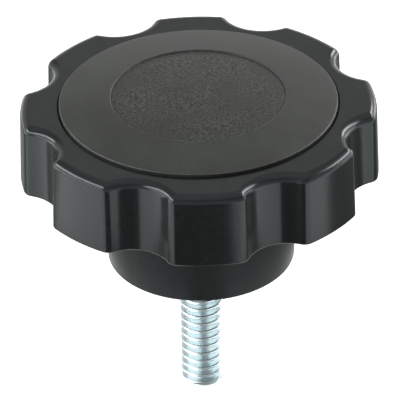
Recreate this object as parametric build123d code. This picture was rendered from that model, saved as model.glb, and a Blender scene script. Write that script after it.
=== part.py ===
from build123d import *
import math
import os

# An eight-arm hand knob: a moulded body with a fluted rim over a round hub, a crowned cap pressed into
# its top, and a hex-head screw held in the hub, whose thread stands out below as the knob's stud.
# Lengths are millimetres and angles are degrees. The axis is Z, the hub's seating face is at z = 0,
# the cap is up and the stud points down. One arm points along -Y.

# Arms and the flutes between them, measured at the arms' lower edge
ARM_COUNT = 8
KNOB_DIAMETER = 50.8
FLUTE_DEPTH = 2.75
FLUTE_RADIUS = 5.4
ARM_HEIGHT = 10.9
ARM_CORNER_RADIUS = 1.3
ARM_ROLL_RADIUS = 0.95
ARM_DRAFT = 1.5
ROLL_STATIONS = 3
ROLL_LIMIT_SHARE = 0.95

# Hub below the arms
HUB_DIAMETER = 26.7
HUB_HEIGHT = 13.7
HUB_DRAFT = 1.0
HUB_EDGE_CHAMFER = 0.2
HUB_ROOT_CHAMFER = 0.6
HUB_WALL = 2.5
HUB_FLOOR = 3.45

# Hollow of the body, moulded from above, with ribs that carry the arms' torque to the boss
RIM_WALL = 3.0
WEB_THICKNESS = 2.6
LEDGE_WIDTH = 1.6
SEAT_DEPTH = 1.3
SEAT_MOUTH_CHAMFER = 0.2
CORE_DRAFT = 1.0
BOSS_WALL = 2.0
BOSS_RISE = 1.2
RIB_THICKNESS = 1.6

# Cap
CAP_GAP = 0.15
CAP_PROUD = 0.45
CAP_CROWN = 1.57
CROWN_SPAN = 3.5
CAP_THICKNESS = 2.3
CAP_EDGE_CHAMFER = 0.25
PANEL_BORDER = 7.3
PANEL_DEPTH = 0.25
PANEL_EDGE_CHAMFER = 0.1
SKIRT_DEPTH = 4.0
SKIRT_THICKNESS = 1.5
SKIRT_GAP = 0.1
SKIRT_RIB_GAP = 0.5

# Screw, 1/4-20 by 1 inch with a hex head; the thread itself is cosmetic and left plain
THREAD_DIAMETER = 6.35
SCREW_LENGTH = 25.4
TIP_DIAMETER = 4.7
TIP_LENGTH = 1.2
NECK_DIAMETER = 5.5
NECK_SHOWING = 0.2
HEAD_ACROSS_FLATS = 11.11
HEAD_HEIGHT = 4.1
HEAD_CHAMFER_ANGLE = 30.0
HEAD_SIDES = 6
HEAD_GAP = 0.05
HOLE_GAP = 0.1
HOLE_MOUTH_CHAMFER = 0.4

# How far a cut runs past the face that it opens
OVERRUN = 1.0

# Radii and heights that more than one piece shares
knob_radius = KNOB_DIAMETER / 2
flute_floor_radius = knob_radius - FLUTE_DEPTH
hub_radius = HUB_DIAMETER / 2
arm_top = HUB_HEIGHT + ARM_HEIGHT
arm_pitch = 360 / ARM_COUNT
cap_radius = flute_floor_radius - RIM_WALL
seat_radius = cap_radius + CAP_GAP
seat_level = arm_top - SEAT_DEPTH
cavity_radius = seat_radius - LEDGE_WIDTH
web_top = HUB_HEIGHT + WEB_THICKNESS
rib_top = seat_level - SKIRT_DEPTH - SKIRT_RIB_GAP
thread_radius = THREAD_DIAMETER / 2
pocket_flat = HEAD_ACROSS_FLATS / 2 + HEAD_GAP
boss_radius = pocket_flat / math.cos(math.pi / HEAD_SIDES) + BOSS_WALL
boss_top = HUB_FLOOR + HEAD_HEIGHT + BOSS_RISE


def spread(height, draft):
    """Sideways growth of a drafted wall over a height."""
    return height * math.tan(math.radians(draft))


def turned(*edges):
    """Solid of revolution about Z from a closed outline of radii and heights."""
    return revolve(Plane.XZ * make_face(Curve() + list(edges)), Axis.Z)


def hexagon(flat_distance):
    """Hexagon with a flat facing each side of X, by the distance from its centre to a flat."""
    return RegularPolygon(flat_distance, HEAD_SIDES, major_radius=False)


def fluted_outline(inset):
    """Outline of the arms and flutes with rounded corners, drawn in by an even inset."""
    flutes = PolarLocations(flute_floor_radius + FLUTE_RADIUS, ARM_COUNT)
    outline = Circle(knob_radius - inset) - flutes * Circle(FLUTE_RADIUS + inset)
    outline = fillet(outline.vertices(), ARM_CORNER_RADIUS - inset)
    return Rot(0, 0, arm_pitch / 2) * outline


def rim_stations():
    """Insets and heights up the arms' flank: the drafted wall and a roll onto the flat top."""
    wall_room = ARM_CORNER_RADIUS - spread(ARM_HEIGHT, ARM_DRAFT)
    roll = min(ARM_ROLL_RADIUS, ROLL_LIMIT_SHARE * wall_room)
    draft = math.radians(ARM_DRAFT)
    roll_height = ARM_HEIGHT - roll
    roll_inset = roll * math.cos(draft) + spread(roll_height + roll * math.sin(draft), ARM_DRAFT)
    stations = [(0, 0)]
    for step in range(ROLL_STATIONS + 1):
        angle = draft + (math.pi / 2 - draft) * step / ROLL_STATIONS
        stations.append((roll_inset - roll * math.cos(angle), roll_height + roll * math.sin(angle)))
    return stations


def fluted_rim():
    """The eight arms as one block, lofted through the outlines at the stations of their flank."""
    outlines = [Pos(0, 0, HUB_HEIGHT + height) * fluted_outline(inset) for inset, height in rim_stations()]
    return loft(outlines, ruled=True)


def hub_column():
    """Hub as a drafted column with a chamfered lower edge, flared a little where it joins the arms' web."""
    flare = HUB_HEIGHT - HUB_ROOT_CHAMFER
    wide = hub_radius + spread(flare, HUB_DRAFT)
    root = wide + HUB_ROOT_CHAMFER
    return turned(
        Polyline(
            (0, 0),
            (hub_radius - HUB_EDGE_CHAMFER, 0),
            (hub_radius + spread(HUB_EDGE_CHAMFER, HUB_DRAFT), HUB_EDGE_CHAMFER),
            (wide, flare),
            (root, HUB_HEIGHT),
            (root, web_top),
            (0, web_top),
            close=True,
        )
    )


def hollow():
    """Stepped core that leaves the hub's floor and wall, the web, the rim and the cap's seat."""
    well = hub_radius - HUB_WALL
    well_top = well + spread(web_top - HUB_FLOOR, CORE_DRAFT)
    cavity_floor_radius = cavity_radius - spread(seat_level - web_top, CORE_DRAFT)
    mouth = seat_radius + SEAT_MOUTH_CHAMFER
    return turned(
        Polyline(
            (0, HUB_FLOOR),
            (well, HUB_FLOOR),
            (well_top, web_top),
            (cavity_floor_radius, web_top),
            (cavity_radius, seat_level),
            (seat_radius, seat_level),
            (seat_radius, arm_top - SEAT_MOUTH_CHAMFER),
            (mouth, arm_top),
            (mouth, arm_top + OVERRUN),
            (0, arm_top + OVERRUN),
            close=True,
        )
    )


def ribs():
    """Radial ribs from the boss to the rim, one in line with each arm, rooted in the walls they meet."""
    inner = boss_radius - BOSS_WALL / 2
    well = hub_radius - HUB_WALL / 2
    outer = cavity_radius + LEDGE_WIDTH / 2
    floor = HUB_FLOOR / 2
    web = HUB_HEIGHT + WEB_THICKNESS / 2
    outline = Polyline(
        (inner, floor),
        (well, floor),
        (well, web),
        (outer, web),
        (outer, rib_top),
        (inner, rib_top),
        close=True,
    )
    rib = extrude(Plane.XZ * make_face(outline), RIB_THICKNESS / 2, both=True)
    return PolarLocations(0, ARM_COUNT) * rib


def screw_passage():
    """Hex pocket for the screw's head, and the hole below it with a chamfered mouth."""
    pocket = Pos(0, 0, HUB_FLOOR) * extrude(hexagon(pocket_flat), boss_top - HUB_FLOOR + OVERRUN)
    hole = thread_radius + HOLE_GAP
    mouth = hole + HOLE_MOUTH_CHAMFER
    bore = turned(
        Polyline(
            (0, -OVERRUN),
            (mouth, -OVERRUN),
            (mouth, 0),
            (hole, HOLE_MOUTH_CHAMFER),
            (hole, HUB_FLOOR + OVERRUN),
            (0, HUB_FLOOR + OVERRUN),
            close=True,
        )
    )
    return pocket + bore


def knob_body():
    """Body: rim and hub in one moulding, hollow below the cap, with the screw's boss on the hub's floor."""
    body = fluted_rim() + hub_column()
    body -= hollow()
    boss = Cylinder(boss_radius, boss_top - HUB_FLOOR, align=(Align.CENTER, Align.CENTER, Align.MIN))
    body += Pos(0, 0, HUB_FLOOR) * boss
    body += ribs()
    return body - screw_passage()


def top_cap():
    """Cap: a crowned disc with a sunken round panel and a skirt that presses into the body's hollow.

    The crown is drawn in short straight spans, which stay within about 0.01 mm of its arc.
    """
    edge_level = arm_top + CAP_PROUD
    crown_radius = (cap_radius**2 + CAP_CROWN**2) / (2 * CAP_CROWN)
    crown_top = edge_level + CAP_CROWN
    crown_centre = crown_top - crown_radius
    underside = crown_top - PANEL_DEPTH - CAP_THICKNESS
    panel_radius = cap_radius - PANEL_BORDER
    skirt_radius = cavity_radius - SKIRT_GAP
    skirt_inside = skirt_radius - SKIRT_THICKNESS
    skirt_end = seat_level - SKIRT_DEPTH

    def on_crown(radius, drop):
        return (radius, crown_centre - drop + math.sqrt(crown_radius**2 - radius**2))

    def crown_run(start, end, drop):
        spans = math.ceil((end - start) / CROWN_SPAN)
        return [on_crown(start + (end - start) * step / spans, drop) for step in range(spans + 1)]

    return turned(
        Polyline(
            *crown_run(0, panel_radius, PANEL_DEPTH),
            on_crown(panel_radius, PANEL_EDGE_CHAMFER),
            *crown_run(panel_radius + PANEL_EDGE_CHAMFER, cap_radius - CAP_EDGE_CHAMFER, 0),
            on_crown(cap_radius, CAP_EDGE_CHAMFER),
            (cap_radius, seat_level),
            (skirt_radius, seat_level),
            (skirt_radius, skirt_end),
            (skirt_inside, skirt_end),
            (skirt_inside, underside),
            (0, underside),
            close=True,
        )
    )


def stud_screw():
    """Screw: hex head on the hub's floor, a thin neck through it and the threaded length below."""
    tip = HUB_FLOOR - SCREW_LENGTH
    neck_radius = NECK_DIAMETER / 2
    shank = turned(
        Polyline(
            (0, tip),
            (TIP_DIAMETER / 2, tip),
            (thread_radius, tip + TIP_LENGTH),
            (thread_radius, -NECK_SHOWING),
            (neck_radius, -NECK_SHOWING),
            (neck_radius, HUB_FLOOR),
            (0, HUB_FLOOR),
            close=True,
        )
    )
    flat = HEAD_ACROSS_FLATS / 2
    corner = flat / math.cos(math.pi / HEAD_SIDES)
    head_top = HUB_FLOOR + HEAD_HEIGHT
    chamfer_drop = spread(corner - flat, HEAD_CHAMFER_ANGLE)
    head = Pos(0, 0, HUB_FLOOR) * extrude(hexagon(flat), HEAD_HEIGHT)
    head &= turned(
        Polyline(
            (0, HUB_FLOOR),
            (corner, HUB_FLOOR),
            (corner, head_top - chamfer_drop),
            (flat, head_top),
            (0, head_top),
            close=True,
        )
    )
    return shank + head


os.makedirs("parts", exist_ok=True)
export_step(knob_body(), "parts/knob_body.step")
export_step(top_cap(), "parts/top_cap.step")
export_step(stud_screw(), "parts/stud_screw.step")
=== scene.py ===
import math

import bmesh
import bpy
from mathutils import Matrix, Quaternion, Vector


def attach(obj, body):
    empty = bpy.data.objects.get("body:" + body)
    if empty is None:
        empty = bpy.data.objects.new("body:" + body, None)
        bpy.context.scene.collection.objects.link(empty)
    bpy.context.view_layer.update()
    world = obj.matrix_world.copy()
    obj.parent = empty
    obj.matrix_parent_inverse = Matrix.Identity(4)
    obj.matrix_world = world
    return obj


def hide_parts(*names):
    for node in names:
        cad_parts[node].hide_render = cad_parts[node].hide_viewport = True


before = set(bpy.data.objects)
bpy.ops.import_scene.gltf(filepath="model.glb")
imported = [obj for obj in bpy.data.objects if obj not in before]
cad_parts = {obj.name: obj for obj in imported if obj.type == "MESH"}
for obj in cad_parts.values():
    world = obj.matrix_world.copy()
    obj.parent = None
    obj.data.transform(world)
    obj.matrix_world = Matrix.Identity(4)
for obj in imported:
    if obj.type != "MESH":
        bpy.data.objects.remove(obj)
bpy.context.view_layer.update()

# Lengths below are millimetres and angles degrees, as in the part's source. MM turns them into metres.
MM = 0.001
FULL_TURN = 2 * math.pi
UP = Vector((0, 0, 1))
WELD = 0.0005
SHARP_ANGLE = 30.0

# Sockets that a Mix node has by number: the share, two levels, two colours, and the mixed colour
SHARE = 0
FIRST_LEVEL = 2
SECOND_LEVEL = 3
FIRST_COLOUR = 6
SECOND_COLOUR = 7
MIXED_COLOUR = 2

# Arms and flutes of the body, at the arms' lower edge
ARM_COUNT = 8
KNOB_RADIUS = 25.4
FLUTE_DEPTH = 2.75
FLUTE_RADIUS = 5.4
CORNER_RADIUS = 1.65
ARM_LOW = 13.7
ARM_TOP = 24.6
ARM_DRAFT = 1.5
ROLL_RADIUS = 1.25
LOWER_EDGE_RADIUS = 0.25
UNDERSIDE_INSET = 1.0
TOP_INSET = 1.55

# Hub, hollow and screw hole of the body
HUB_RADIUS = 13.35
HUB_DRAFT = 1.0
HUB_EDGE_RADIUS = 0.2
HUB_ROOT_RADIUS = 0.6
UNDERSIDE_RADIUS = 15.0
SEAT_RADIUS = 19.8
SEAT_LEVEL = 23.3
SEAT_MOUTH_RADIUS = 0.2
TOP_RADIUS = 20.2
CAVITY_RADIUS = 18.2
CAVITY_FLOOR_RADIUS = 18.078
WEB_TOP = 16.3
WELL_RADIUS = 10.85
WELL_TOP_RADIUS = 11.074
HUB_FLOOR = 3.45
HOLE_RADIUS = 3.275
HOLE_MOUTH = 0.4
BOSS_RADIUS = 8.472
BOSS_TOP = 8.75
POCKET_FLAT = 5.605
ROOTED_FLOOR = 1.725
ROOTED_WEB = 15.0
RIB_INNER = 7.472
RIB_WELL = 12.1
RIB_OUTER = 19.0
RIB_TOP = 18.8
RIB_THICKNESS = 1.6

# Cap
CAP_RADIUS = 19.65
CAP_EDGE_LEVEL = 25.05
CAP_CROWN = 1.57
CAP_UNDERSIDE = 24.07
CAP_EDGE_RADIUS = 0.18
PANEL_RADIUS = 12.35
PANEL_DEPTH = 0.25
PANEL_FOOT_RADIUS = 0.06
PANEL_LIP_RADIUS = 0.1
PANEL_LIP_REACH = 0.05
PANEL_FACE_RADIUS = 12.0
BORDER_INNER_RADIUS = 12.7
BORDER_OUTER_RADIUS = 19.1
SKIRT_RADIUS = 18.1
SKIRT_INNER_RADIUS = 16.6
SKIRT_END = 19.3

# Screw: 1/4-20 thread, with its crests cut back by the tip's chamfer
THREAD_PITCH = 1.27
CREST_RADIUS = 3.175
ROOT_RADIUS = 2.4
CREST_HALF_SHARE = 0.04
FLANK_END_SHARE = 0.46
THREAD_TOP = -0.2
THREAD_TIP = -21.95
THREAD_SHIFT = 0.557
THREAD_RUNOUT = 0.9
THREAD_TURNS = 20
TIP_RADIUS = 2.4
TIP_LENGTH = 0.75
NECK_RADIUS = 2.75
HEAD_FLAT = 5.555
HEAD_TOP = 7.55
HEAD_CHAMFER = 30.0
HEAD_SIDES = 6

# How finely the pieces are divided
FLUTE_STEPS = 9
CORNER_STEPS = 12
ARM_STEPS = 5
ROUND_STEPS = 8
CROWN_STEPS = 10
CAP_COLUMNS = 192
SCREW_COLUMNS = 60
THREAD_ROWS = 32

# Camera, from the ellipses of the cap, its panel and the hub in the photograph
CAMERA_AIM = (-0.045, 0.0, 8.47)
CAMERA_DISTANCE = 701.0
CAMERA_AZIMUTH = -2.22
CAMERA_ELEVATION = 32.37
CAMERA_ROLL = 1.14
CAMERA_LENS = 443.0
CAMERA_SENSOR = 36.0
CLIP_START = 10.0
CLIP_END = 10000.0

# Studio: softboxes by bearing from the camera's side, clockwise seen from above, elevation, distance, width,
# height, lean and radiance. A gap between the high and the low strips keeps level faces dark at a low angle.
SOFTBOXES = {
    "left_strip": (84.0, 32.0, 420.0, 520.0, 110.0, 10.0, 6.9),
    "left_low_strip": (86.0, 6.0, 420.0, 520.0, 80.0, 10.0, 3.0),
    "right_strip": (-120.0, 32.0, 480.0, 480.0, 125.0, -8.0, 7.6),
    "right_low_strip": (-116.0, 6.0, 480.0, 480.0, 90.0, -8.0, 3.0),
    "back_fill": (-174.0, 14.0, 480.0, 260.0, 120.0, 0.0, 0.6),
}

# Surround: its light on the object, its white to the eye, and its levels in reflections by height and bearing
SURROUND_LIGHT = 0.22
BACKGROUND_WHITE = 1.0
HORIZON_END_SHARE = 0.22
CEILING_START_SHARE = 0.68
CEILING_LIGHT = 0.45
OVERHEAD_START_SHARE = 0.6
OVERHEAD_END_SHARE = 0.98
OVERHEAD_LIGHT = 0.55
FRONT_BEARING = -9.0
FRONT_START_SHARE = 0.82
FRONT_END_SHARE = 0.6
FRONT_LIGHT = 0.8

# Floor: its glow to the eye and in reflections, where a painted shade makes it a little dimmer near the
# object
FLOOR_SIZE = 1500.0
FLOOR_LEVEL = -22.0
FLOOR_GLOW = 0.7
FLOOR_GLOSS = 1.0
# Painted shade: the floor's level in reflections close to the object
SHADED_NEAR_FLOOR_GLOSS = 0.95
NEAR_FLOOR_REACH = 40.0
FAR_FLOOR_REACH = 80.0
ALONG_FLOOR = (1.0, 1.0, 0.0)
PAPER_COLOUR = "#f2f2f2"

# Grey cards on the floor: rows of a place along Y, the card's left and right ends there, and its darkness
GREY_CARDS = {
    "front_card": (
        (-420.0, -230.0, 110.0, 0.8),
        (-90.0, -49.0, 26.0, 0.8),
        (-60.0, -34.0, 18.0, 0.3),
        (-38.0, -11.0, 17.0, 0.0),
        (-9.0, -3.0, 4.5, 0.0),
        (0.0, -2.0, 6.0, 0.2),
        (7.0, -2.0, 5.0, 0.2),
    ),
    "left_card": (
        (4.0, -200.0, -52.0, 0.0),
        (30.0, -200.0, -46.0, 0.0),
        (48.0, -200.0, 0.0, 0.0),
        (150.0, -200.0, 0.0, 0.0),
    ),
    "right_card": (
        (-23.0, 52.0, 200.0, 0.0),
        (-8.0, 52.0, 200.0, 0.3),
        (30.0, 46.0, 200.0, 0.4),
        (48.0, 0.0, 200.0, 0.3),
        (150.0, 0.0, 200.0, 0.0),
    ),
}
CARD_PALE = "#b0b0b0"
CARD_DARK = "#707070"

# Pale card behind the stud, of a level light, that keeps the crests' ends apart from the white surround
STUD_CARD = ((2.0, -24.0, 24.0), (32.0, -24.0, 24.0))
STUD_CARD_LIGHT = 0.95

# Grey ring that the hub mirrors, and the cards' height over the floor
RING_CARD_INNER = 41.0
RING_CARD_OUTER = 76.0
RING_CARD_DARKNESS = 0.4
CARD_LIFT = 0.1

# Body plastic: pattern sizes and depths, colours and gloss, with a drier hub up to just under the arms
FLOW_SIZE = 7.0
FLOW_DETAIL = 3.0
SATIN_SIZE = 0.3
SATIN_DETAIL = 2.0
SATIN_STRENGTH = 0.06
SATIN_DEPTH = 0.005
SCUFF_AND_GLINT_SIZE = 1.2
SCUFF_AND_GLINT_DETAIL = 4.0
BODY_DARK = "#0f1111"
BODY_PALE = "#141616"
# Paler colour of the roundings: partly wear, partly a painted highlight
BODY_WEAR_AND_HIGHLIGHT = "#2a2c2d"
BODY_GLINT = "#f2fdff"
BODY_ROUGH_LOW = 0.17
BODY_ROUGH_HIGH = 0.23
BODY_IOR = 1.49
HUB_MATTE_TOP = 13.0
HUB_MATTE_END = 13.6
HUB_ROUGHNESS = 0.3

# Cap plastics: the grain of the border and of the panel, and what the two share
BORDER_GRAIN = {
    "grain_size": 0.3,
    "grain_depth": 0.004,
    "dark": "#333632",
    "pale": "#3b3e3a",
    "rough_low": 0.42,
    "rough_high": 0.5,
}
PANEL_GRAIN = {
    "grain_size": 0.34,
    "grain_depth": 0.07,
    "dark": "#111411",
    "pale": "#494c47",
    "rough_low": 0.5,
    "rough_high": 0.58,
}
GRAIN_DETAIL = 3.0
GRAIN_STRENGTH = 0.6
MEAN_GRAIN = 0.5
PIT_LOW = 0.38
PIT_HIGH = 0.62
DRIFT_SIZE = 6.0
DRIFT_DETAIL = 5.0
DRIFT_LOW = 0.35
DRIFT_HIGH = 0.65
SHALLOW_GRAIN = 0.45
DEEP_GRAIN = 1.15
CLOUD_DARK = 0.82
CLOUD_PALE = 1.12
NICK_AND_GLINT_SIZE = 0.6
NICK_AND_GLINT_DETAIL = 2.0
# Paler colour of the cap's roundings: partly wear, partly a painted highlight
CAP_WEAR_AND_HIGHLIGHT = "#6c6e6d"
CAP_IOR = 1.53
CAP_SPECULAR = 0.4

# Zinc plate: film and crystals, tints and gloss
FILM_SIZE = 2.5
FILM_DETAIL = 3.0
CRYSTAL_SIZE = 0.25
CRYSTAL_DETAIL = 2.0
CRYSTAL_STRENGTH = 0.2
CRYSTAL_DEPTH = 0.01
ZINC_BLUE = "#d2e3ed"
ZINC_STRAW = "#dfeae7"
ZINC_ROUGH_LOW = 0.2
ZINC_ROUGH_HIGH = 0.34


def linear(hex_colour):
    """Linear colour, with alpha, of an sRGB hex value, by that standard's own curve."""
    channels = [int(hex_colour[start:start + 2], 16) / 255 for start in (1, 3, 5)]
    curve = [c / 12.92 if c <= 0.04045 else ((c + 0.055) / 1.055) ** 2.4 for c in channels]
    return (*curve, 1.0)


def per_size(millimetres):
    """Texture scale at which one feature of a pattern is that large."""
    return 1 / (millimetres * MM)


def add(tree, kind, inputs=None, **settings):
    """Adds a node with its settings, and gives its inputs their values or the sockets that feed them."""
    node = tree.nodes.new(kind)
    for name, value in settings.items():
        setattr(node, name, value)
    for key, value in (inputs or {}).items():
        if isinstance(value, bpy.types.NodeSocket):
            tree.links.new(value, node.inputs[key])
        else:
            node.inputs[key].default_value = value
    return node


def new_material(name):
    """A material with an empty node tree."""
    material = bpy.data.materials.new(name)
    material.use_nodes = True
    material.node_tree.nodes.clear()
    return material


def satin_body_plastic():
    """Polypropylene, injection moulded in black: dark, with soft wide highlights from a mould polished to a
    satin, a gloss that drifts a little where the melt flowed, and every rounding painted a shade paler,
    partly as wear and partly as a painted highlight."""
    material = new_material("black_polypropylene_moulded_satin")
    tree = material.node_tree
    place = add(tree, "ShaderNodeTexCoord").outputs["Object"]
    flow = add(
        tree,
        "ShaderNodeTexNoise",
        {"Vector": place, "Scale": per_size(FLOW_SIZE), "Detail": FLOW_DETAIL},
    )
    # The mould's satin is a few hundredths of a millimetre and is drawn coarser, so that it shows.
    satin = add(
        tree,
        "ShaderNodeTexNoise",
        {"Vector": place, "Scale": per_size(SATIN_SIZE), "Detail": SATIN_DETAIL},
    )
    edge = add(tree, "ShaderNodeAttribute", attribute_name="edge").outputs["Fac"]
    scuffs_and_glints = add(
        tree,
        "ShaderNodeTexNoise",
        {"Vector": place, "Scale": per_size(SCUFF_AND_GLINT_SIZE), "Detail": SCUFF_AND_GLINT_DETAIL},
    )
    # Painted highlight and wear: every rounding, broken up by noise, gets the paler colour
    wear_and_highlight_mask = add(tree, "ShaderNodeMath", {0: edge, 1: scuffs_and_glints.outputs["Fac"]}, operation="MULTIPLY")
    shade = add(
        tree,
        "ShaderNodeMix",
        {SHARE: flow.outputs["Fac"], FIRST_COLOUR: linear(BODY_DARK), SECOND_COLOUR: linear(BODY_PALE)},
        data_type="RGBA",
    )
    wear_and_highlight_colour = add(
        tree,
        "ShaderNodeMix",
        {
            SHARE: wear_and_highlight_mask.outputs[0],
            FIRST_COLOUR: shade.outputs[MIXED_COLOUR],
            SECOND_COLOUR: linear(BODY_WEAR_AND_HIGHLIGHT),
        },
        data_type="RGBA",
    )
    gloss = add(
        tree,
        "ShaderNodeMapRange",
        {"Value": flow.outputs["Fac"], "To Min": BODY_ROUGH_LOW, "To Max": BODY_ROUGH_HIGH},
    )
    height = add(tree, "ShaderNodeSeparateXYZ", {0: place}).outputs["Z"]
    on_hub = add(
        tree,
        "ShaderNodeMapRange",
        {
            "Value": height,
            "From Min": HUB_MATTE_TOP * MM,
            "From Max": HUB_MATTE_END * MM,
            "To Min": 1.0,
            "To Max": 0.0,
        },
    )
    dry = add(
        tree,
        "ShaderNodeMix",
        {SHARE: on_hub.outputs[0], FIRST_LEVEL: gloss.outputs[0], SECOND_LEVEL: HUB_ROUGHNESS},
    )
    bump = add(
        tree,
        "ShaderNodeBump",
        {"Height": satin.outputs["Fac"], "Strength": SATIN_STRENGTH, "Distance": SATIN_DEPTH * MM},
    )
    shader = add(
        tree,
        "ShaderNodeBsdfPrincipled",
        {
            "Base Color": wear_and_highlight_colour.outputs[MIXED_COLOUR],
            "Roughness": dry.outputs[0],
            "IOR": BODY_IOR,
            "Specular Tint": linear(BODY_GLINT),
            "Normal": bump.outputs[0],
        },
    )
    add(tree, "ShaderNodeOutputMaterial", {"Surface": shader.outputs[0]})
    return material


def textured_cap_plastic(name, grain_size, grain_depth, dark, pale, rough_low, rough_high):
    """ABS, moulded in black against a spark-eroded mould: a dry matte grain of fine pits and peaks that
    scatters the light to grey, and every rounding painted a shade paler, partly as wear and partly as a
    painted highlight."""
    material = new_material(name)
    tree = material.node_tree
    place = add(tree, "ShaderNodeTexCoord").outputs["Object"]
    # Spark-eroded grain is about a tenth of a millimetre and is drawn coarser, so that it shows.
    grain = add(
        tree,
        "ShaderNodeTexNoise",
        {"Vector": place, "Scale": per_size(grain_size), "Detail": GRAIN_DETAIL},
    )
    drift = add(
        tree,
        "ShaderNodeTexNoise",
        {"Vector": place, "Scale": per_size(DRIFT_SIZE), "Detail": DRIFT_DETAIL},
    )
    edge = add(tree, "ShaderNodeAttribute", attribute_name="edge").outputs["Fac"]
    nicks_and_glints = add(
        tree,
        "ShaderNodeTexNoise",
        {"Vector": place, "Scale": per_size(NICK_AND_GLINT_SIZE), "Detail": NICK_AND_GLINT_DETAIL},
    )
    # Painted highlight and wear: every rounding, broken up by noise, gets the paler colour
    wear_and_highlight_mask = add(tree, "ShaderNodeMath", {0: edge, 1: nicks_and_glints.outputs["Fac"]}, operation="MULTIPLY")
    pits = add(
        tree,
        "ShaderNodeMapRange",
        {"Value": grain.outputs["Fac"], "From Min": PIT_LOW, "From Max": PIT_HIGH},
    )
    drifting = {"Value": drift.outputs["Fac"], "From Min": DRIFT_LOW, "From Max": DRIFT_HIGH}
    depth = add(tree, "ShaderNodeMapRange", {**drifting, "To Min": SHALLOW_GRAIN, "To Max": DEEP_GRAIN})
    grained = add(
        tree,
        "ShaderNodeMix",
        {SHARE: depth.outputs[0], FIRST_LEVEL: MEAN_GRAIN, SECOND_LEVEL: pits.outputs[0]},
    )
    shade = add(
        tree,
        "ShaderNodeMix",
        {SHARE: grained.outputs[0], FIRST_COLOUR: linear(dark), SECOND_COLOUR: linear(pale)},
        data_type="RGBA",
    )
    cloud = add(tree, "ShaderNodeMapRange", {**drifting, "To Min": CLOUD_DARK, "To Max": CLOUD_PALE})
    clouded = add(
        tree,
        "ShaderNodeMix",
        {SHARE: 1.0, FIRST_COLOUR: shade.outputs[MIXED_COLOUR], SECOND_COLOUR: cloud.outputs[0]},
        data_type="RGBA",
        blend_type="MULTIPLY",
    )
    wear_and_highlight_colour = add(
        tree,
        "ShaderNodeMix",
        {
            SHARE: wear_and_highlight_mask.outputs[0],
            FIRST_COLOUR: clouded.outputs[MIXED_COLOUR],
            SECOND_COLOUR: linear(CAP_WEAR_AND_HIGHLIGHT),
        },
        data_type="RGBA",
    )
    gloss = add(
        tree,
        "ShaderNodeMapRange",
        {"Value": drift.outputs["Fac"], "To Min": rough_low, "To Max": rough_high},
    )
    bump = add(
        tree,
        "ShaderNodeBump",
        {"Height": grain.outputs["Fac"], "Strength": GRAIN_STRENGTH, "Distance": grain_depth * MM},
    )
    shader = add(
        tree,
        "ShaderNodeBsdfPrincipled",
        {
            "Base Color": wear_and_highlight_colour.outputs[MIXED_COLOUR],
            "Roughness": gloss.outputs[0],
            "IOR": CAP_IOR,
            "Specular IOR Level": CAP_SPECULAR,
            "Normal": bump.outputs[0],
        },
    )
    add(tree, "ShaderNodeOutputMaterial", {"Surface": shader.outputs[0]})
    return material


def bright_zinc_plate():
    """Steel screw, rolled thread, zinc plated and clear passivated: a bright silver with a bluish tint that
    drifts to a faint straw, and a slightly uneven gloss left by the bath."""
    material = new_material("zinc_plated_steel_clear_passivated")
    tree = material.node_tree
    place = add(tree, "ShaderNodeTexCoord").outputs["Object"]
    film = add(
        tree,
        "ShaderNodeTexNoise",
        {"Vector": place, "Scale": per_size(FILM_SIZE), "Detail": FILM_DETAIL},
    )
    # Plating crystals are microns across and are drawn coarser, so that they show.
    crystals = add(
        tree,
        "ShaderNodeTexNoise",
        {"Vector": place, "Scale": per_size(CRYSTAL_SIZE), "Detail": CRYSTAL_DETAIL},
    )
    tint = add(
        tree,
        "ShaderNodeMix",
        {SHARE: film.outputs["Fac"], FIRST_COLOUR: linear(ZINC_BLUE), SECOND_COLOUR: linear(ZINC_STRAW)},
        data_type="RGBA",
    )
    gloss = add(
        tree,
        "ShaderNodeMapRange",
        {"Value": film.outputs["Fac"], "To Min": ZINC_ROUGH_LOW, "To Max": ZINC_ROUGH_HIGH},
    )
    bump = add(
        tree,
        "ShaderNodeBump",
        {"Height": crystals.outputs["Fac"], "Strength": CRYSTAL_STRENGTH, "Distance": CRYSTAL_DEPTH * MM},
    )
    shader = add(
        tree,
        "ShaderNodeBsdfPrincipled",
        {
            "Base Color": tint.outputs[MIXED_COLOUR],
            "Metallic": 1.0,
            "Roughness": gloss.outputs[0],
            "Normal": bump.outputs[0],
        },
    )
    add(tree, "ShaderNodeOutputMaterial", {"Surface": shader.outputs[0]})
    return material


def spread(height, draft):
    """Sideways growth of a drafted wall over a height."""
    return height * math.tan(math.radians(draft))


def turned_point(radius, angle):
    """Point on a circle about the origin."""
    return Vector((radius * math.cos(angle), radius * math.sin(angle)))


def rounded(corners):
    """Line of (reach, height, edge) through corners of (reach, height, rounding radius). Edge is 1 in the
    middle of each rounding and 0 off it."""
    line = []
    for number, (reach, height, radius) in enumerate(corners):
        corner = Vector((reach, height))
        if not radius:
            line.append((reach, height, 0.0))
            continue
        back = (Vector(corners[number - 1][:2]) - corner).normalized()
        ahead = (Vector(corners[number + 1][:2]) - corner).normalized()
        half = back.angle(ahead) / 2
        centre = corner + (back + ahead).normalized() * radius / math.sin(half)
        first = corner + back * radius / math.tan(half) - centre
        turn = first.angle_signed(corner + ahead * radius / math.tan(half) - centre)
        for step in range(ROUND_STEPS + 1):
            share = step / ROUND_STEPS
            point = centre + Matrix.Rotation(-turn * share, 2) @ first
            line.append((point.x, point.y, math.sin(math.pi * share)))
    return line


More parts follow.
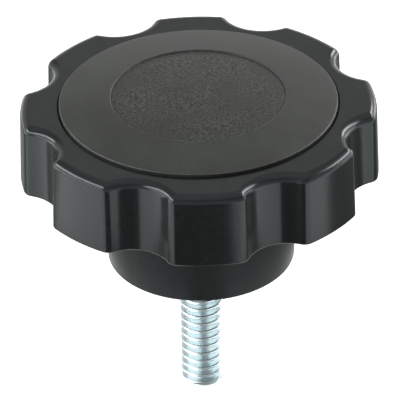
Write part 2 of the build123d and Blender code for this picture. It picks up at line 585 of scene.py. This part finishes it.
def skin(name, rings, edges, materials, ring_slots=None, around=False, through=False):
    """Object whose faces join each ring of points to the next: around closes the rings on themselves, and
    through joins the last ring to the first. Edges is a share for each ring, kept on its points for the
    materials."""
    build = bmesh.new()
    share = build.verts.layers.float.new("edge")
    made = []
    for ring, edge in zip(rings, edges):
        row = [build.verts.new(Vector(point) * MM) for point in ring]
        for vert in row:
            vert[share] = edge
        made.append(row)
    columns = len(made[0]) if around else len(made[0]) - 1
    strips = len(made) if through else len(made) - 1
    for strip in range(strips):
        low = made[strip]
        high = made[(strip + 1) % len(made)]
        for column in range(columns):
            after = (column + 1) % len(low)
            face = build.faces.new((low[column], low[after], high[after], high[column]))
            face.smooth = True
            face.material_index = ring_slots[strip] if ring_slots else 0
    bmesh.ops.remove_doubles(build, verts=build.verts, dist=WELD * MM)
    bmesh.ops.dissolve_degenerate(build, dist=WELD * MM, edges=build.edges)
    mesh = bpy.data.meshes.new(name)
    build.to_mesh(mesh)
    build.free()
    for material in materials:
        mesh.materials.append(material)
    piece = bpy.data.objects.new(name, mesh)
    bpy.context.scene.collection.objects.link(piece)
    return piece


def turned(name, line, columns, materials, ring_slots=None):
    """Object of revolution about Z from a line of (radius, height, edge)."""
    angles = [FULL_TURN * column / columns for column in range(columns)]
    rings = [[(*turned_point(radius, angle), height) for angle in angles] for radius, height, edge in line]
    return skin(name, rings, [edge for radius, height, edge in line], materials, ring_slots, around=True)


def settle(piece):
    """Replaces a piece's mesh by what its modifiers make of it, and removes them."""
    graph = bpy.context.evaluated_depsgraph_get()
    mesh = bpy.data.meshes.new_from_object(piece.evaluated_get(graph))
    piece.modifiers.clear()
    old = piece.data
    piece.data = mesh
    bpy.data.meshes.remove(old)
    mesh.name = piece.name


def even_shading(piece):
    """Keeps square corners crisp, and lets the large faces set the shading beside each rounding."""
    piece.data.set_sharp_from_angle(angle=math.radians(SHARP_ANGLE))
    shading = piece.modifiers.new("even_shading", "WEIGHTED_NORMAL")
    shading.mode = "FACE_AREA"
    shading.keep_sharp = True
    settle(piece)


def grown(piece, tree, values):
    """Runs a node tree on a piece, with its inputs set by name, and keeps the result as a plain mesh."""
    modifier = piece.modifiers.new(tree.name, "NODES")
    modifier.node_group = tree
    for item in tree.interface.items_tree:
        if item.item_type == "SOCKET" and item.in_out == "INPUT" and item.name in values:
            modifier[item.identifier] = values[item.name]
    settle(piece)


def new_tree(name, sockets):
    """Geometry node tree with a geometry in and out, and its named inputs."""
    tree = bpy.data.node_groups.new(name, "GeometryNodeTree")
    tree.interface.new_socket(name="Geometry", in_out="OUTPUT", socket_type="NodeSocketGeometry")
    tree.interface.new_socket(name="Geometry", in_out="INPUT", socket_type="NodeSocketGeometry")
    for label, kind in sockets.items():
        tree.interface.new_socket(name=label, in_out="INPUT", socket_type=kind)
    return tree


def arm_outline():
    """One arm's outline, from the middle of a flute to the middle of the next: points and outward normals."""
    flute_centre = turned_point(KNOB_RADIUS - FLUTE_DEPTH + FLUTE_RADIUS, 0)
    reach = flute_centre.length
    corner_reach = KNOB_RADIUS - CORNER_RADIUS
    touching = FLUTE_RADIUS + CORNER_RADIUS
    lean = math.acos((reach**2 + corner_reach**2 - touching**2) / (2 * reach * corner_reach))
    corner_centre = turned_point(corner_reach, lean)
    meeting = flute_centre - corner_centre
    meeting_angle = math.atan2(meeting.y, meeting.x)
    arm_middle = math.pi / ARM_COUNT
    half = []
    for step in range(FLUTE_STEPS):
        normal = turned_point(1, meeting_angle * step / FLUTE_STEPS)
        half.append((flute_centre - FLUTE_RADIUS * normal, normal))
    for step in range(CORNER_STEPS):
        normal = turned_point(1, meeting_angle + (lean - meeting_angle) * step / CORNER_STEPS)
        half.append((corner_centre + CORNER_RADIUS * normal, normal))
    for step in range(ARM_STEPS + 1):
        normal = turned_point(1, lean + (arm_middle - lean) * step / ARM_STEPS)
        half.append((KNOB_RADIUS * normal, normal))
    turn = Matrix.Rotation(-arm_middle, 2)
    first = [(turn @ point, turn @ normal) for point, normal in half]
    flip = Matrix.Diagonal((1, -1))
    second = [(flip @ point, flip @ normal) for point, normal in reversed(first[:-1])]
    return first + second


def hex_reach(angle, flat):
    """Distance from the axis to the side of a hexagon in a direction, by the distance to its flats."""
    side = FULL_TURN / HEAD_SIDES
    off_flat = (angle + side / 2) % side - side / 2
    return flat / math.cos(off_flat)


def moulded_round_axis():
    """Node tree that repeats one arm's slice and rib round the axis, and unites them with the boss."""
    tree = new_tree("moulded_round_axis", {
        "Arm Count": "NodeSocketInt",
        "Rib": "NodeSocketObject",
        "Boss": "NodeSocketObject",
        "Weld": "NodeSocketFloat",
        "Material": "NodeSocketMaterial",
    })
    given = add(tree, "NodeGroupInput").outputs
    places = add(tree, "GeometryNodeMeshLine", {"Count": given["Arm Count"], "Offset": (0, 0, 0)})
    pitch = add(tree, "ShaderNodeMath", {0: FULL_TURN, 1: given["Arm Count"]}, operation="DIVIDE")
    index = add(tree, "GeometryNodeInputIndex")
    turn = add(tree, "ShaderNodeMath", {0: pitch.outputs[0], 1: index.outputs[0]}, operation="MULTIPLY")
    about_axis = add(tree, "ShaderNodeCombineXYZ", {"Z": turn.outputs[0]})
    round_axis = {"Points": places.outputs[0], "Rotation": about_axis.outputs[0]}
    slices = add(tree, "GeometryNodeInstanceOnPoints", {**round_axis, "Instance": given["Geometry"]})
    real_slices = add(tree, "GeometryNodeRealizeInstances", {"Geometry": slices.outputs[0]})
    shell = add(
        tree,
        "GeometryNodeMergeByDistance",
        {"Geometry": real_slices.outputs[0], "Distance": given["Weld"]},
    )
    rib = add(tree, "GeometryNodeObjectInfo", {"Object": given["Rib"]})
    ribs = add(tree, "GeometryNodeInstanceOnPoints", {**round_axis, "Instance": rib.outputs["Geometry"]})
    boss = add(tree, "GeometryNodeObjectInfo", {"Object": given["Boss"]})
    joined = add(
        tree,
        "GeometryNodeMeshBoolean",
        {"Mesh 2": shell.outputs[0]},
        operation="UNION",
        solver="EXACT",
    )
    for inside in (ribs.outputs[0], boss.outputs["Geometry"]):
        tree.links.new(inside, joined.inputs["Mesh 2"])
    # The union leaves a few double points at the hex pocket, and faces without area between them.
    clean = add(
        tree,
        "GeometryNodeMergeByDistance",
        {"Geometry": joined.outputs["Mesh"], "Distance": given["Weld"]},
    )
    real = add(tree, "GeometryNodeRealizeInstances", {"Geometry": clean.outputs[0]})
    coated = add(
        tree,
        "GeometryNodeSetMaterial",
        {"Geometry": real.outputs[0], "Material": given["Material"]},
    )
    add(tree, "NodeGroupOutput", {"Geometry": coated.outputs[0]})
    return tree


def arm_rib(plastic):
    """Rib under the cap, in line with one arm, from the boss over the hub's web to the rim."""
    outline = [
        (RIB_INNER, ROOTED_FLOOR),
        (RIB_WELL, ROOTED_FLOOR),
        (RIB_WELL, ROOTED_WEB),
        (RIB_OUTER, ROOTED_WEB),
        (RIB_OUTER, RIB_TOP),
        (RIB_INNER, RIB_TOP),
    ]
    half = RIB_THICKNESS / 2
    rings = [[(reach, side, height) for reach, height in outline] for side in (half, -half)]
    rib = skin("arm_rib", rings, [0.0, 0.0], [plastic], around=True)
    build = bmesh.new()
    build.from_mesh(rib.data)
    bmesh.ops.holes_fill(build, edges=build.edges)
    bmesh.ops.recalc_face_normals(build, faces=build.faces)
    build.to_mesh(rib.data)
    build.free()
    return rib


def screw_boss(plastic):
    """Boss on the hub's floor, with the hex pocket that holds the screw's head."""
    angles = [FULL_TURN * column / SCREW_COLUMNS for column in range(SCREW_COLUMNS)]
    levels = (ROOTED_FLOOR, BOSS_TOP)
    outside = [[(*turned_point(BOSS_RADIUS, angle), level) for angle in angles] for level in levels]
    sides = [(hex_reach(angle, POCKET_FLAT), angle) for angle in angles]
    pocket = [[(*turned_point(reach, angle), level) for reach, angle in sides] for level in levels]
    rings = outside + pocket[::-1]
    return skin("screw_boss", rings, [0.0] * len(rings), [plastic], around=True, through=True)


def fluted_body(plastic):
    """Body: a slice of rim, web and hub, swept along one arm's outline and repeated round the axis."""
    wall_top = spread(ARM_TOP - ARM_LOW, ARM_DRAFT)
    flank = rounded([
        (UNDERSIDE_INSET, ARM_LOW, 0),
        (0, ARM_LOW, LOWER_EDGE_RADIUS),
        (wall_top, ARM_TOP, ROLL_RADIUS),
        (TOP_INSET, ARM_TOP, 0),
    ])
    core = rounded([
        (TOP_RADIUS, ARM_TOP, 0),
        (SEAT_RADIUS, ARM_TOP, SEAT_MOUTH_RADIUS),
        (SEAT_RADIUS, SEAT_LEVEL, 0),
        (CAVITY_RADIUS, SEAT_LEVEL, 0),
        (CAVITY_FLOOR_RADIUS, WEB_TOP, 0),
        (WELL_TOP_RADIUS, WEB_TOP, 0),
        (WELL_RADIUS, HUB_FLOOR, 0),
        (HOLE_RADIUS, HUB_FLOOR, 0),
        (HOLE_RADIUS, HOLE_MOUTH, 0),
        (HOLE_RADIUS + HOLE_MOUTH, 0, 0),
        (HUB_RADIUS, 0, HUB_EDGE_RADIUS),
        (HUB_RADIUS + spread(ARM_LOW, HUB_DRAFT), ARM_LOW, HUB_ROOT_RADIUS),
        (UNDERSIDE_RADIUS, ARM_LOW, 0),
    ])
    outline = arm_outline()
    rings = []
    for inset, height, edge in flank:
        rings.append([(*(point - inset * normal), height) for point, normal in outline])
    for radius, height, edge in core:
        rings.append([(*(point.normalized() * radius), height) for point, normal in outline])
    edges = [edge for reach, height, edge in flank + core]
    body = skin("fluted_body", rings, edges, [plastic], through=True)
    inside = {"Rib": arm_rib(plastic), "Boss": screw_boss(plastic)}
    grown(body, moulded_round_axis(), {
        **inside,
        "Arm Count": ARM_COUNT,
        "Weld": WELD * MM,
        "Material": plastic,
    })
    for shape in inside.values():
        bpy.data.objects.remove(shape)
    even_shading(body)
    return body


def crowned_cap(border_plastic, panel_plastic):
    """Cap: a crowned disc with a sunken panel and a skirt that presses into the body."""
    crown_radius = (CAP_RADIUS**2 + CAP_CROWN**2) / (2 * CAP_CROWN)
    crown_centre = CAP_EDGE_LEVEL + CAP_CROWN - crown_radius

    def crown(radius, drop):
        return crown_centre - drop + math.sqrt(crown_radius**2 - radius**2)

    def crown_run(start, end, drop):
        reaches = [start + (end - start) * step / CROWN_STEPS for step in range(CROWN_STEPS + 1)]
        return [(reach, crown(reach, drop), 0) for reach in reaches]

    lip = PANEL_RADIUS + PANEL_LIP_REACH
    skirt = [
        (0, CAP_UNDERSIDE, 0),
        (SKIRT_INNER_RADIUS, CAP_UNDERSIDE, 0),
        (SKIRT_INNER_RADIUS, SKIRT_END, 0),
        (SKIRT_RADIUS, SKIRT_END, 0),
        (SKIRT_RADIUS, SEAT_LEVEL, 0),
        (CAP_RADIUS, SEAT_LEVEL, 0),
        (CAP_RADIUS, crown(CAP_RADIUS, 0), CAP_EDGE_RADIUS),
    ]
    border = crown_run(BORDER_OUTER_RADIUS, BORDER_INNER_RADIUS, 0)
    step = [
        (lip, crown(lip, 0), PANEL_LIP_RADIUS),
        (PANEL_RADIUS, crown(PANEL_RADIUS, PANEL_DEPTH), PANEL_FOOT_RADIUS),
    ]
    panel = crown_run(PANEL_FACE_RADIUS, 0, PANEL_DEPTH)
    line = rounded(skirt + border + step + panel)
    panel_start = len(line) - len(panel)
    ring_slots = [int(ring >= panel_start - 1) for ring in range(len(line))]
    cap = turned("crowned_cap", line, CAP_COLUMNS, [border_plastic, panel_plastic], ring_slots)
    even_shading(cap)
    return cap


def rolled_thread():
    """Node tree that winds one thread form up the stud, cuts it to the tip's chamfer, runs it out into the
    neck and welds it to the head and tip that it is given."""
    lengths = [
        "Pitch", "Crest Radius", "Root Radius", "Top", "Tip", "Shift", "Runout", "Tip Radius", "Tip Length",
        "Neck Radius", "Weld",
    ]
    sockets = {label: "NodeSocketFloat" for label in lengths}
    sockets.update({label: "NodeSocketInt" for label in ("Turns", "Columns", "Rows")})
    sockets["Material"] = "NodeSocketMaterial"
    tree = new_tree("rolled_thread", sockets)
    given = add(tree, "NodeGroupInput").outputs
    total = add(tree, "ShaderNodeMath", {0: given["Turns"], 1: given["Columns"]}, operation="MULTIPLY")
    columns = add(tree, "ShaderNodeMath", {0: total.outputs[0], 1: 1.0}, operation="ADD")
    rows = add(tree, "ShaderNodeMath", {0: given["Rows"], 1: 1.0}, operation="ADD")
    ribbon = add(
        tree,
        "GeometryNodeMeshGrid",
        {
            "Size X": given["Turns"],
            "Size Y": 1.0,
            "Vertices X": columns.outputs[0],
            "Vertices Y": rows.outputs[0],
        },
    )
    position = add(tree, "GeometryNodeInputPosition")
    flat = add(tree, "ShaderNodeSeparateXYZ", {0: position.outputs[0]})
    turns, across = flat.outputs["X"], flat.outputs["Y"]
    angle = add(tree, "ShaderNodeMath", {0: turns, 1: FULL_TURN}, operation="MULTIPLY")

    # Height along the stud, held between the tip and the neck
    climb = add(tree, "ShaderNodeMath", {0: turns, 1: across}, operation="ADD")
    ends = add(tree, "ShaderNodeMath", {0: given["Top"], 1: given["Tip"]}, operation="ADD")
    middle = add(
        tree,
        "ShaderNodeMath",
        {0: ends.outputs[0], 1: 0.5, 2: given["Shift"]},
        operation="MULTIPLY_ADD",
    )
    lift = add(
        tree,
        "ShaderNodeMath",
        {0: climb.outputs[0], 1: given["Pitch"], 2: middle.outputs[0]},
        operation="MULTIPLY_ADD",
    )
    height = add(
        tree,
        "ShaderNodeClamp",
        {"Value": lift.outputs[0], "Min": given["Tip"], "Max": given["Top"]},
    ).outputs[0]

    # Thread form: crest, flanks and root
    off_crest = add(tree, "ShaderNodeMath", {0: across}, operation="ABSOLUTE")
    form = add(
        tree,
        "ShaderNodeMapRange",
        {
            "Value": off_crest.outputs[0],
            "From Min": CREST_HALF_SHARE,
            "From Max": FLANK_END_SHARE,
            "To Min": given["Crest Radius"],
            "To Max": given["Root Radius"],
        },
        interpolation_type="SMOOTHSTEP",
    )

    # Limits of the form at the tip's chamfer and at the neck
    chamfer_end = add(tree, "ShaderNodeMath", {0: given["Tip"], 1: given["Tip Length"]}, operation="ADD")
    chamfer = add(
        tree,
        "ShaderNodeMapRange",
        {
            "Value": height,
            "From Min": given["Tip"],
            "From Max": chamfer_end.outputs[0],
            "To Min": given["Tip Radius"],
            "To Max": given["Crest Radius"],
        },
    )
    runout_start = add(tree, "ShaderNodeMath", {0: given["Top"], 1: given["Runout"]}, operation="SUBTRACT")
    runout = {
        "Value": height,
        "From Min": runout_start.outputs[0],
        "From Max": given["Top"],
        "To Max": given["Neck Radius"],
    }
    crest_limit = add(tree, "ShaderNodeMapRange", {**runout, "To Min": given["Crest Radius"]})
    root_limit = add(tree, "ShaderNodeMapRange", {**runout, "To Min": given["Root Radius"]})
    raised = add(tree, "ShaderNodeMath", {0: form.outputs[0], 1: root_limit.outputs[0]}, operation="MAXIMUM")
    faded = add(
        tree,
        "ShaderNodeMath",
        {0: raised.outputs[0], 1: crest_limit.outputs[0]},
        operation="MINIMUM",
    )
    radius = add(tree, "ShaderNodeMath", {0: faded.outputs[0], 1: chamfer.outputs[0]}, operation="MINIMUM")

    # Ribbon wound into its place
    cosine = add(tree, "ShaderNodeMath", {0: angle.outputs[0]}, operation="COSINE")
    sine = add(tree, "ShaderNodeMath", {0: angle.outputs[0]}, operation="SINE")
    x = add(tree, "ShaderNodeMath", {0: cosine.outputs[0], 1: radius.outputs[0]}, operation="MULTIPLY")
    y = add(tree, "ShaderNodeMath", {0: sine.outputs[0], 1: radius.outputs[0]}, operation="MULTIPLY")
    wound = add(tree, "ShaderNodeCombineXYZ", {"X": x.outputs[0], "Y": y.outputs[0], "Z": height})
    thread = add(
        tree,
        "GeometryNodeSetPosition",
        {"Geometry": ribbon.outputs[0], "Position": wound.outputs[0]},
    )
    smooth = add(tree, "GeometryNodeSetShadeSmooth", {0: thread.outputs[0]})
    joined = add(tree, "GeometryNodeJoinGeometry", {0: smooth.outputs[0]})
    tree.links.new(given["Geometry"], joined.inputs[0])
    real = add(tree, "GeometryNodeRealizeInstances", {"Geometry": joined.outputs[0]})
    welded = add(
        tree,
        "GeometryNodeMergeByDistance",
        {"Geometry": real.outputs[0], "Distance": given["Weld"]},
    )
    coated = add(
        tree,
        "GeometryNodeSetMaterial",
        {"Geometry": welded.outputs[0], "Material": given["Material"]},
    )
    add(tree, "NodeGroupOutput", {"Geometry": coated.outputs[0]})
    return tree


def threaded_screw(zinc):
    """Screw: hex head, neck and tip, with the thread wound between them."""
    angles = [FULL_TURN * column / SCREW_COLUMNS for column in range(SCREW_COLUMNS)]
    drop = math.tan(math.radians(HEAD_CHAMFER))
    corners = [(hex_reach(angle, HEAD_FLAT), angle) for angle in angles]
    rings = [
        [(*turned_point(NECK_RADIUS, angle), THREAD_TOP) for angle in angles],
        [(*turned_point(NECK_RADIUS, angle), HUB_FLOOR) for angle in angles],
        [(*turned_point(reach, angle), HUB_FLOOR) for reach, angle in corners],
        [(*turned_point(reach, angle), HEAD_TOP - drop * (reach - HEAD_FLAT)) for reach, angle in corners],
        [(*turned_point(HEAD_FLAT, angle), HEAD_TOP) for angle in angles],
        [(0, 0, HEAD_TOP) for angle in angles],
    ]
    screw = skin("threaded_screw", rings, [0.0] * len(rings), [zinc], around=True)
    end_rings = [
        [(0, 0, THREAD_TIP) for angle in angles],
        [(*turned_point(TIP_RADIUS, angle), THREAD_TIP) for angle in angles],
    ]
    end = skin("screw_end", end_rings, [0.0] * len(end_rings), [zinc], around=True)
    build = bmesh.new()
    build.from_mesh(screw.data)
    build.from_mesh(end.data)
    build.to_mesh(screw.data)
    build.free()
    bpy.data.objects.remove(end)
    for face in screw.data.polygons:
        face.use_smooth = False
    grown(screw, rolled_thread(), {
        "Pitch": THREAD_PITCH * MM,
        "Crest Radius": CREST_RADIUS * MM,
        "Root Radius": ROOT_RADIUS * MM,
        "Top": THREAD_TOP * MM,
        "Tip": THREAD_TIP * MM,
        "Shift": THREAD_SHIFT * MM,
        "Runout": THREAD_RUNOUT * MM,
        "Tip Radius": TIP_RADIUS * MM,
        "Tip Length": TIP_LENGTH * MM,
        "Neck Radius": NECK_RADIUS * MM,
        "Weld": WELD * MM,
        "Turns": THREAD_TURNS,
        "Columns": SCREW_COLUMNS,
        "Rows": THREAD_ROWS,
        "Material": zinc,
    })
    return screw


def bearing_direction(bearing, elevation):
    """Direction from the object by bearing from -Y towards -X, and elevation."""
    side, up = math.radians(bearing), math.radians(elevation)
    return Vector((-math.sin(side) * math.cos(up), -math.cos(side) * math.cos(up), math.sin(up)))


def by_ray(tree, to_eye, in_gloss, otherwise):
    """Level by the kind of ray: from the eye, in a reflection, or for the light on other surfaces."""
    path = add(tree, "ShaderNodeLightPath").outputs
    eye = {0: path["Is Camera Ray"], 1: path["Is Transmission Ray"]}
    seen = add(tree, "ShaderNodeMath", eye, operation="MAXIMUM")
    reflected = add(
        tree,
        "ShaderNodeMix",
        {SHARE: path["Is Glossy Ray"], FIRST_LEVEL: otherwise, SECOND_LEVEL: in_gloss},
    )
    level = add(
        tree,
        "ShaderNodeMix",
        {SHARE: seen.outputs[0], FIRST_LEVEL: reflected.outputs[0], SECOND_LEVEL: to_eye},
    )
    return level.outputs[0]


def studio_floor():
    """Plain pale floor that reads as white, keeps a faint shadow, and isn't seen from below."""
    half = FLOOR_SIZE / 2
    rings = [
        [(-half, -half, FLOOR_LEVEL), (half, -half, FLOOR_LEVEL)],
        [(-half, half, FLOOR_LEVEL), (half, half, FLOOR_LEVEL)],
    ]
    material = new_material("pale_studio_paper")
    tree = material.node_tree
    paper = add(tree, "ShaderNodeBsdfDiffuse", {"Color": linear(PAPER_COLOUR)})
    place = add(tree, "ShaderNodeTexCoord").outputs["Object"]
    away = add(tree, "ShaderNodeVectorMath", {0: place, 1: ALONG_FLOOR}, operation="MULTIPLY")
    reach = add(tree, "ShaderNodeVectorMath", {0: away.outputs[0]}, operation="LENGTH")
    # Painted shade: in reflections the floor's glow is a little dimmer close to the object, as in its shadow.
    gloss = add(
        tree,
        "ShaderNodeMapRange",
        {
            "Value": reach.outputs["Value"],
            "From Min": NEAR_FLOOR_REACH * MM,
            "From Max": FAR_FLOOR_REACH * MM,
            "To Min": SHADED_NEAR_FLOOR_GLOSS,
            "To Max": FLOOR_GLOSS,
        },
    )
    glow = add(tree, "ShaderNodeEmission", {"Strength": by_ray(tree, FLOOR_GLOW, gloss.outputs[0], 0.0)})
    lit = add(tree, "ShaderNodeAddShader", {0: paper.outputs[0], 1: glow.outputs[0]})
    clear = add(tree, "ShaderNodeBsdfTransparent")
    below = add(tree, "ShaderNodeNewGeometry").outputs["Backfacing"]
    seen = add(tree, "ShaderNodeMixShader", {0: below, 1: lit.outputs[0], 2: clear.outputs[0]})
    add(tree, "ShaderNodeOutputMaterial", {"Surface": seen.outputs[0]})
    floor = skin("studio_floor", rings, [0.0, 0.0], [material])


def floor_cards():
    """Cards on the floor, seen only in reflections: grey ones that give the walls, the hub and the stud their
    dark parts, and a pale one behind the stud. The grey ones keep their darkness in the edge share."""
    material = new_material("grey_card")
    tree = material.node_tree
    darkness = add(tree, "ShaderNodeAttribute", attribute_name="edge").outputs["Fac"]
    shade = add(
        tree,
        "ShaderNodeMix",
        {SHARE: darkness, FIRST_COLOUR: linear(CARD_PALE), SECOND_COLOUR: linear(CARD_DARK)},
        data_type="RGBA",
    )
    grey = add(tree, "ShaderNodeBsdfDiffuse", {"Color": shade.outputs[MIXED_COLOUR]})
    add(tree, "ShaderNodeOutputMaterial", {"Surface": grey.outputs[0]})
    under = FLOOR_LEVEL + CARD_LIFT / 2
    ring = [(RING_CARD_INNER, under, RING_CARD_DARKNESS), (RING_CARD_OUTER, under, RING_CARD_DARKNESS)]
    cards = [turned("ring_card", ring, CAP_COLUMNS, [material])]
    pale = new_material("pale_card")
    level = add(pale.node_tree, "ShaderNodeEmission", {"Strength": STUD_CARD_LIGHT})
    add(pale.node_tree, "ShaderNodeOutputMaterial", {"Surface": level.outputs[0]})
    rings = [[(left, along, under), (right, along, under)] for along, left, right in STUD_CARD]
    cards.append(skin("stud_card", rings, [0.0, 0.0], [pale]))
    over = FLOOR_LEVEL + CARD_LIFT
    for name, rows in GREY_CARDS.items():
        rings = [[(left, along, over), (right, along, over)] for along, left, right, dark in rows]
        cards.append(skin(name, rings, [dark for along, left, right, dark in rows], [material]))
    for card in cards:
        card.visible_camera = False
        card.visible_diffuse = False
        card.visible_shadow = False


def studio_world():
    """White surround to the eye and a plain soft light on the object. In reflections it is white at the
    horizon, dimmer above it, white again overhead and a little dimmer in front."""
    world = bpy.data.worlds.new("studio_surround")
    world.use_nodes = True
    tree = world.node_tree
    tree.nodes.clear()
    direction = add(tree, "ShaderNodeTexCoord").outputs["Generated"]
    height = add(tree, "ShaderNodeSeparateXYZ", {0: direction})
    mirrored = add(
        tree,
        "ShaderNodeMapRange",
        {
            "Value": height.outputs["Z"],
            "From Min": HORIZON_END_SHARE,
            "From Max": CEILING_START_SHARE,
            "To Min": BACKGROUND_WHITE,
            "To Max": CEILING_LIGHT,
        },
        interpolation_type="SMOOTHSTEP",
    )
    overhead = add(
        tree,
        "ShaderNodeMapRange",
        {
            "Value": height.outputs["Z"],
            "From Min": OVERHEAD_START_SHARE,
            "From Max": OVERHEAD_END_SHARE,
            "To Min": 0.0,
            "To Max": OVERHEAD_LIGHT,
        },
        interpolation_type="SMOOTHSTEP",
    )
    ceiling = add(tree, "ShaderNodeMath", {0: mirrored.outputs[0], 1: overhead.outputs[0]}, operation="ADD")
    front = bearing_direction(FRONT_BEARING, 0)
    facing = add(tree, "ShaderNodeVectorMath", {0: direction, 1: front}, operation="DOT_PRODUCT")
    in_front = add(
        tree,
        "ShaderNodeMapRange",
        {
            "Value": facing.outputs["Value"],
            "From Min": FRONT_START_SHARE,
            "From Max": FRONT_END_SHARE,
            "To Min": FRONT_LIGHT,
            "To Max": 1.0,
        },
        interpolation_type="SMOOTHSTEP",
    )
    dimmed = add(
        tree,
        "ShaderNodeMath",
        {0: ceiling.outputs[0], 1: in_front.outputs[0]},
        operation="MULTIPLY",
    )
    level = by_ray(tree, BACKGROUND_WHITE, dimmed.outputs[0], SURROUND_LIGHT)
    surround = add(tree, "ShaderNodeBackground", {"Strength": level})
    add(tree, "ShaderNodeOutputWorld", {"Surface": surround.outputs[0]})
    bpy.context.scene.world = world


def studio_softboxes():
    """Soft rectangular lamps round the object, each turned to face it."""
    aim = Vector(CAMERA_AIM) * MM
    for name, (bearing, elevation, away, wide, high, lean, radiance) in SOFTBOXES.items():
        lamp = bpy.data.lights.new(name, "AREA")
        lamp.shape = "RECTANGLE"
        lamp.size = wide * MM
        lamp.size_y = high * MM
        lamp.energy = radiance * math.pi * lamp.size * lamp.size_y
        softbox = bpy.data.objects.new(name, lamp)
        towards = bearing_direction(bearing, elevation)
        softbox.location = aim + towards * away * MM
        turn = Quaternion(UP, math.radians(lean))
        softbox.rotation_euler = (towards.to_track_quat("Z", "Y") @ turn).to_euler()
        softbox.visible_camera = False
        bpy.context.scene.collection.objects.link(softbox)


def photo_camera():
    """Long-lens camera above and in front of the knob, rolled a little as in the photograph."""
    aim = Vector(CAMERA_AIM) * MM
    towards = bearing_direction(-CAMERA_AZIMUTH, CAMERA_ELEVATION)
    right = UP.cross(towards).normalized()
    level = Matrix((right, towards.cross(right), towards)).transposed()
    data = bpy.data.cameras.new("photo_camera")
    data.lens = CAMERA_LENS
    data.sensor_width = CAMERA_SENSOR
    data.clip_start = CLIP_START * MM
    data.clip_end = CLIP_END * MM
    camera = bpy.data.objects.new("photo_camera", data)
    turned_level = level @ Matrix.Rotation(-math.radians(CAMERA_ROLL), 3, "Z")
    camera.matrix_world = Matrix.Translation(aim + towards * CAMERA_DISTANCE * MM) @ turned_level.to_4x4()
    bpy.context.scene.collection.objects.link(camera)
    bpy.context.scene.camera = camera


def dress(piece, node):
    """Rides a finished piece on the knob in place of its CAD node, which it hides."""
    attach(piece, "root")
    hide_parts(node)


body_plastic = satin_body_plastic()
border_plastic = textured_cap_plastic("black_abs_fine_spark_grain", **BORDER_GRAIN)
panel_plastic = textured_cap_plastic("black_abs_coarse_spark_grain", **PANEL_GRAIN)
zinc = bright_zinc_plate()

dress(fluted_body(body_plastic), "knob_body")
dress(crowned_cap(border_plastic, panel_plastic), "top_cap")
dress(threaded_screw(zinc), "stud_screw")

studio_floor()
floor_cards()
studio_world()
studio_softboxes()
photo_camera()
bpy.context.scene.view_settings.view_transform = "Standard"
